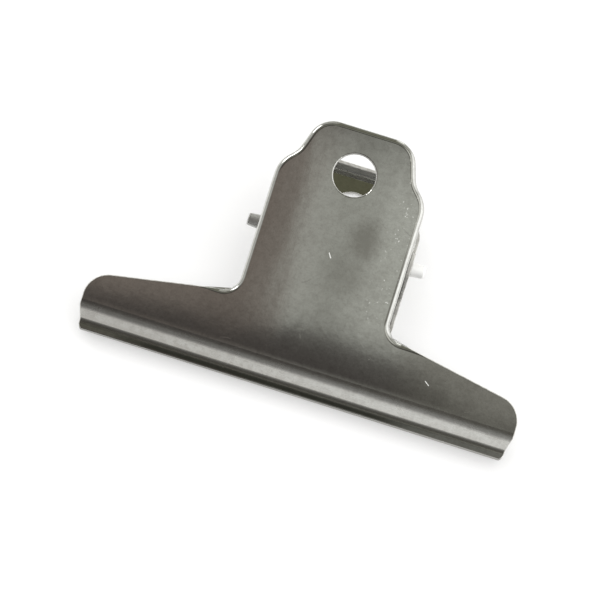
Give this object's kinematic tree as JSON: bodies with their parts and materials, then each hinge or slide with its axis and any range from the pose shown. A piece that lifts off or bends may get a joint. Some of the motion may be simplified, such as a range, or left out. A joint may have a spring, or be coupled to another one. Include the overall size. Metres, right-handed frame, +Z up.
{
  "type": "bulldog clip",
  "caption": "Sprung letter clip of bent sheet metal: wide jaws that grip paper, narrow handles with hanging holes, and a pin through both handles' ears that carries the coil spring.",
  "frame": {"origin": "middle of the foot of the box, on the surface that the clip lies on", "axes": "+X along the jaws, +Y from the jaws towards the handles, +Z up out of the back plate"},
  "size_m": [0.075, 0.046, 0.0214],
  "materials": {
    "plated_sheet": "nickel plated sheet steel, satin to glossy, with fine handling scratches",
    "pin_steel": "plain drawn steel, turned ends",
    "spring_wire": "drawn spring wire, slightly dark"
  },
  "bodies": {
    "back": {"back_plate": "plated_sheet", "pivot_pin": "pin_steel", "torsion_spring": "spring_wire"},
    "front": {"front_plate": "plated_sheet"}
  },
  "joints": [
    {"name": "clip_hinge", "type": "hinge", "parent": "back", "child": "front", "pos_m": [0, 0.00367, 0.0075], "axis": [-1, 0, 0], "range_deg": [0, 46.5], "stiffness_Nm_per_rad": 0.3, "springref_deg": -25.78, "deforming": ["torsion_spring"]}
  ]
}
